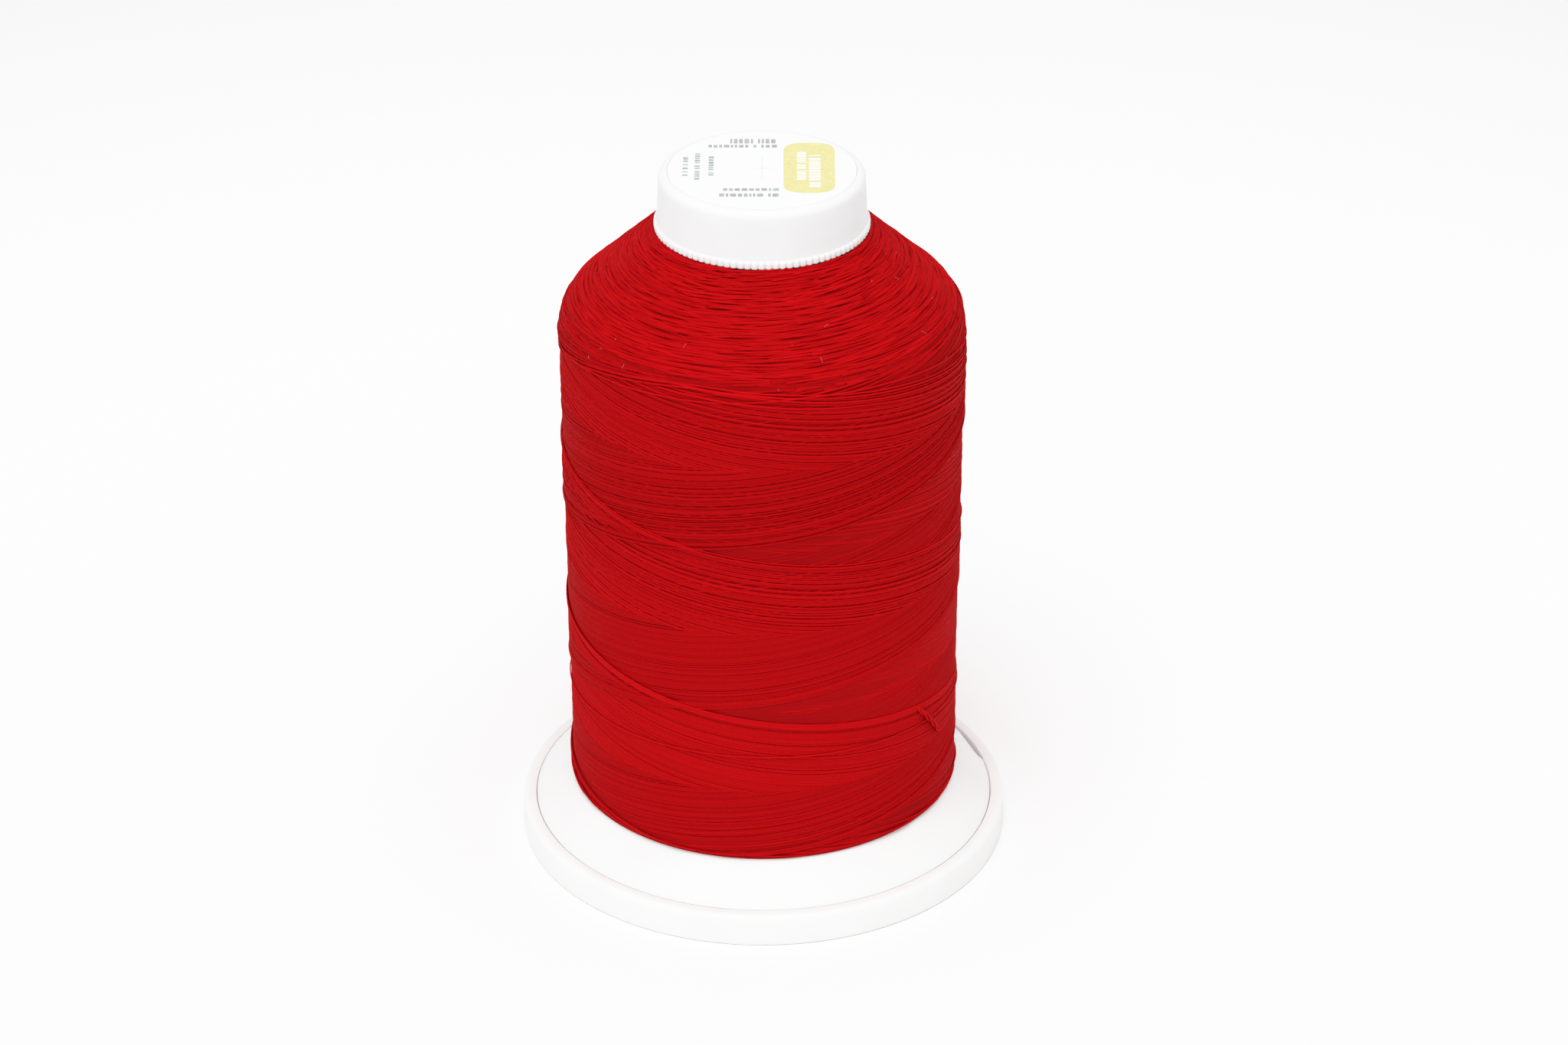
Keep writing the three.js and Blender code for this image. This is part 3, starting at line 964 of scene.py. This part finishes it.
def thread_material():
    """Two-ply red cotton: twisted plies, fine fibres, and a slightly different shade per thread, which
    also carries painted sheen by direction and a painted highlight on the latest threads.
    """
    made, nodes, links, shader = material("red_cotton")
    shader.inputs["Roughness"].default_value = 0.62
    shader.inputs["Specular IOR Level"].default_value = 0.02
    shader.inputs["Sheen Weight"].default_value = 0.03
    shader.inputs["Sheen Roughness"].default_value = 0.5
    shader.inputs["Sheen Tint"].default_value = (1.0, 0.05, 0.06, 1)
    along, around, thread_shade_and_painted_sheen = (
        node(nodes, "ShaderNodeAttribute", attribute_name=name).outputs["Fac"]
        for name in ("along", "around", "thread_shade_and_painted_sheen")
    )

    # The plies: a phase that grows along the thread and round it.
    twist = 0.62  # from one ply to the next, along the thread
    phase = times_plus(nodes, links, around, TURN, times(nodes, links, along, TURN / twist))
    plies = node(nodes, "ShaderNodeMath", operation="SINE")
    links.new(phase, plies.inputs[0])

    # Fibres: noise drawn out along the thread.
    place = node(nodes, "ShaderNodeCombineXYZ")
    stretched = times(nodes, links, along, 1.6)
    links.new(stretched, place.inputs[0])
    links.new(times_plus(nodes, links, around, 6.0, stretched), place.inputs[1])
    links.new(thread_shade_and_painted_sheen, place.inputs[2])
    fibres = noise(nodes, links, place.outputs[0], Scale=3.0, Detail=4.0, Roughness=0.6)

    # each thread's shade carries the painted sheen of its direction and the painted highlight of the
    # latest threads
    shade = times_plus(nodes, links, fibres, 0.55, times(nodes, links, thread_shade_and_painted_sheen, 0.45))
    links.new(ramp(nodes, links, shade, RED_DEEP, RED_LIGHT, 0.2, 0.8), shader.inputs["Base Color"])
    relief = times_plus(nodes, links, plies.outputs[0], 0.35, fibres)
    add_bump(nodes, links, shader, relief, strength=0.6, depth=0.02)
    return made


def core_material():
    """The same cotton packed dense: seen through gaps, so it carries fine horizontal turns, in a darker
    red than the threads, painted shade for the gaps.
    """
    made, nodes, links, shader = material("red_core")
    shader.inputs["Roughness"].default_value = 0.85
    shader.inputs["Specular IOR Level"].default_value = 0.05
    where = node(nodes, "ShaderNodeTexCoord")
    squeeze = node(nodes, "ShaderNodeMapping", {"Scale": (90, 90, 3200)})
    links.new(where.outputs["Object"], squeeze.inputs["Vector"])
    turns = noise(nodes, links, squeeze.outputs["Vector"], Scale=1.0, Detail=3.0)
    links.new(ramp(nodes, links, turns, CORE_DEEP, CORE_LIGHT), shader.inputs["Base Color"])
    add_bump(nodes, links, shader, turns, strength=0.6, depth=0.05)
    return made


def moulded_plastic(name, deep, light, roughness):
    """Glossy white moulded plastic: faint flow marks, fine grain and a few hairline scuffs."""
    made, nodes, links, shader = material(name)
    shader.inputs["Specular IOR Level"].default_value = 0.45
    shader.inputs["Subsurface Weight"].default_value = 0.25
    shader.inputs["Subsurface Radius"].default_value = (1.0, 0.9, 0.9)
    shader.inputs["Subsurface Scale"].default_value = 2.5 * MM
    where = node(nodes, "ShaderNodeTexCoord").outputs["Object"]
    flow = noise(nodes, links, where, Scale=60.0, Detail=3.0, Distortion=0.8)
    links.new(ramp(nodes, links, flow, deep, light, 0.3, 0.7), shader.inputs["Base Color"])
    rough_range = {"To Min": roughness - 0.06, "To Max": roughness + 0.08}
    rough = node(nodes, "ShaderNodeMapRange", rough_range)
    links.new(flow, rough.inputs["Value"])
    links.new(rough.outputs["Result"], shader.inputs["Roughness"])
    grain = noise(nodes, links, where, Scale=2600.0, Detail=2.0)
    drawn = {"Scale": (30, 900, 30), "Rotation": (0.3, 0.5, 0.9)}
    squeeze = node(nodes, "ShaderNodeMapping", drawn)
    links.new(where, squeeze.inputs["Vector"])
    lines = noise(nodes, links, squeeze.outputs["Vector"], Scale=2.5, Detail=2.0)
    scuffs = node(nodes, "ShaderNodeMapRange", {"From Min": 0.68, "From Max": 0.74})
    links.new(lines, scuffs.inputs["Value"])
    relief = times_plus(nodes, links, scuffs.outputs["Result"], -1.2, grain)
    add_bump(nodes, links, shader, relief, strength=0.35, depth=0.012)
    return made


def printed(name, deep, light, roughness, scale):
    """Paper or ink on it: a fine fibre grain that varies the shade and the surface."""
    made, nodes, links, shader = material(name)
    shader.inputs["Roughness"].default_value = roughness
    shader.inputs["Specular IOR Level"].default_value = 0.3
    where = node(nodes, "ShaderNodeTexCoord").outputs["Object"]
    grain = noise(nodes, links, where, Scale=scale, Detail=4.0, Roughness=0.65)
    links.new(ramp(nodes, links, grain, deep, light, 0.32, 0.68), shader.inputs["Base Color"])
    add_bump(nodes, links, shader, grain, strength=0.3, depth=0.01)
    return made


red_cotton = thread_material()
red_core = core_material()
for piece in windings:
    stands_for(piece, "spool", "thread_package", red_cotton)
lint_cotton = printed("lint_cotton", (0.50, 0.26, 0.25), (0.66, 0.44, 0.42), 0.8, 900)
for piece in lint:
    stands_for(piece, "spool", "thread_package", lint_cotton)
core = winding_core()
smooth(core)
stands_for(core, "spool", "thread_package", red_core)

base_plastic = moulded_plastic("base_white", (0.83, 0.83, 0.825), (0.87, 0.87, 0.865), 0.36)
cap_plastic = moulded_plastic("cap_white", (0.81, 0.81, 0.815), (0.85, 0.85, 0.855), 0.34)
paper = printed("label_white", (0.86, 0.86, 0.85), (0.9, 0.9, 0.895), 0.75, 900)
gold_ink = printed("gold_ink", (0.67, 0.61, 0.29), (0.75, 0.69, 0.38), 0.5, 1500)
white_ink = printed("white_ink", (0.86, 0.85, 0.76), (0.90, 0.89, 0.82), 0.5, 1500)
grey_ink = printed("grey_ink", (0.34, 0.36, 0.37), (0.50, 0.52, 0.53), 0.6, 1500)
pale_ink = printed("pale_ink", (0.55, 0.57, 0.58), (0.68, 0.70, 0.71), 0.6, 1500)

stands_for(base_shell(), "base", "snap_base", base_plastic)
stands_for(body_shell(), "spool", "spool_body", base_plastic)
stands_for(cap_shell(), "spool", "head_cap", cap_plastic)
stands_for(label_paper(), "spool", "top_label", paper)
for piece, ink in zip(label_print(), (gold_ink, white_ink, grey_ink, pale_ink)):
    stands_for(piece, "spool", "top_label", ink)


# ---- Camera, floor and light ----

EYE = (0.0035, -0.6336, 0.4021)  # metres
DOWN_DEGREES = 28.61  # the camera's look below the horizon
SENSOR_WIDTH = 36
FOCAL_LENGTH = 100


def look():
    """The camera: above the front, a little to the right of the axis."""
    data = bpy.data.cameras.new("camera")
    data.lens = FOCAL_LENGTH
    data.sensor_width = SENSOR_WIDTH
    data.sensor_fit = "HORIZONTAL"
    data.clip_start, data.clip_end = 0.05, 50
    camera = bpy.data.objects.new("camera", data)
    camera.location = EYE
    camera.rotation_euler = (math.radians(90 - DOWN_DEGREES), 0, 0)
    bpy.context.scene.collection.objects.link(camera)
    bpy.context.scene.camera = camera


def soft_light(name, degrees, up, spread, power):
    """Light from far off, soft over a spread of degrees, from a direction round the spool and up."""
    data = bpy.data.lights.new(name, "SUN")
    data.angle = math.radians(spread)
    data.energy = power
    lamp = bpy.data.objects.new(name, data)
    turn, rise = math.radians(degrees), math.radians(up)
    out = Vector((math.sin(turn) * math.cos(rise), -math.cos(turn) * math.cos(rise), math.sin(rise)))
    lamp.location = out
    lamp.rotation_euler = out.to_track_quat("Z", "Y").to_euler()
    bpy.context.scene.collection.objects.link(lamp)


def studio():
    """A white room: even light from all round, two wide soft lights and a pale matt floor whose colour
    darkens away from the spool, a painted falloff of light.
    """
    world = bpy.data.worlds.new("studio")
    bpy.context.scene.world = world
    world.use_nodes = True
    sky = world.node_tree.nodes["Background"]
    sky.inputs["Color"].default_value = (1, 1, 1, 1)
    sky.inputs["Strength"].default_value = 0.6
    soft_light("key", -18, 42, 60, 0.95)
    soft_light("top", 0, 80, 60, 1.6)
    reach = 6000  # to each side
    corners = [(-reach, -reach, 0), (reach, -reach, 0), (reach, reach, 0), (-reach, reach, 0)]
    floor = faced_object("floor", corners, [(0, 1, 2, 3)])
    surface, nodes, links, shader = material("floor")
    shader.inputs["Roughness"].default_value = 0.9
    shader.inputs["Specular IOR Level"].default_value = 0.1
    # painted falloff of light: the floor's colour darkens from 0.9 near the spool to 0.7 farther off
    where = node(nodes, "ShaderNodeTexCoord")
    away = node(nodes, "ShaderNodeVectorMath", operation="LENGTH")
    links.new(where.outputs["Object"], away.inputs[0])
    fade = node(nodes, "ShaderNodeMapRange", {"From Min": 0.2, "From Max": 0.45})  # metres
    links.new(away.outputs["Value"], fade.inputs["Value"])
    near, far = (0.9, 0.9, 0.9), (0.7, 0.7, 0.7)
    links.new(ramp(nodes, links, fade.outputs["Result"], near, far), shader.inputs["Base Color"])
    floor.data.materials.append(surface)


def film_shoulder(view):
    """Eases the whites off towards full white, as a camera does; the thread's reds stay as they are."""
    white = 1.6  # the brightest light that the curve takes in
    view.use_curve_mapping = True
    mapping = view.curve_mapping
    mapping.white_level = (white, white, white)
    points = mapping.curves[3].points
    for light, shown in ((0.3, 0.3), (0.6, 0.6), (0.8, 0.83), (0.95, 0.935), (1.15, 0.985)):
        points.new(light / white, shown)
    mapping.update()


look()
studio()
view = bpy.context.scene.view_settings
view.view_transform = "Standard"
film_shoulder(view)
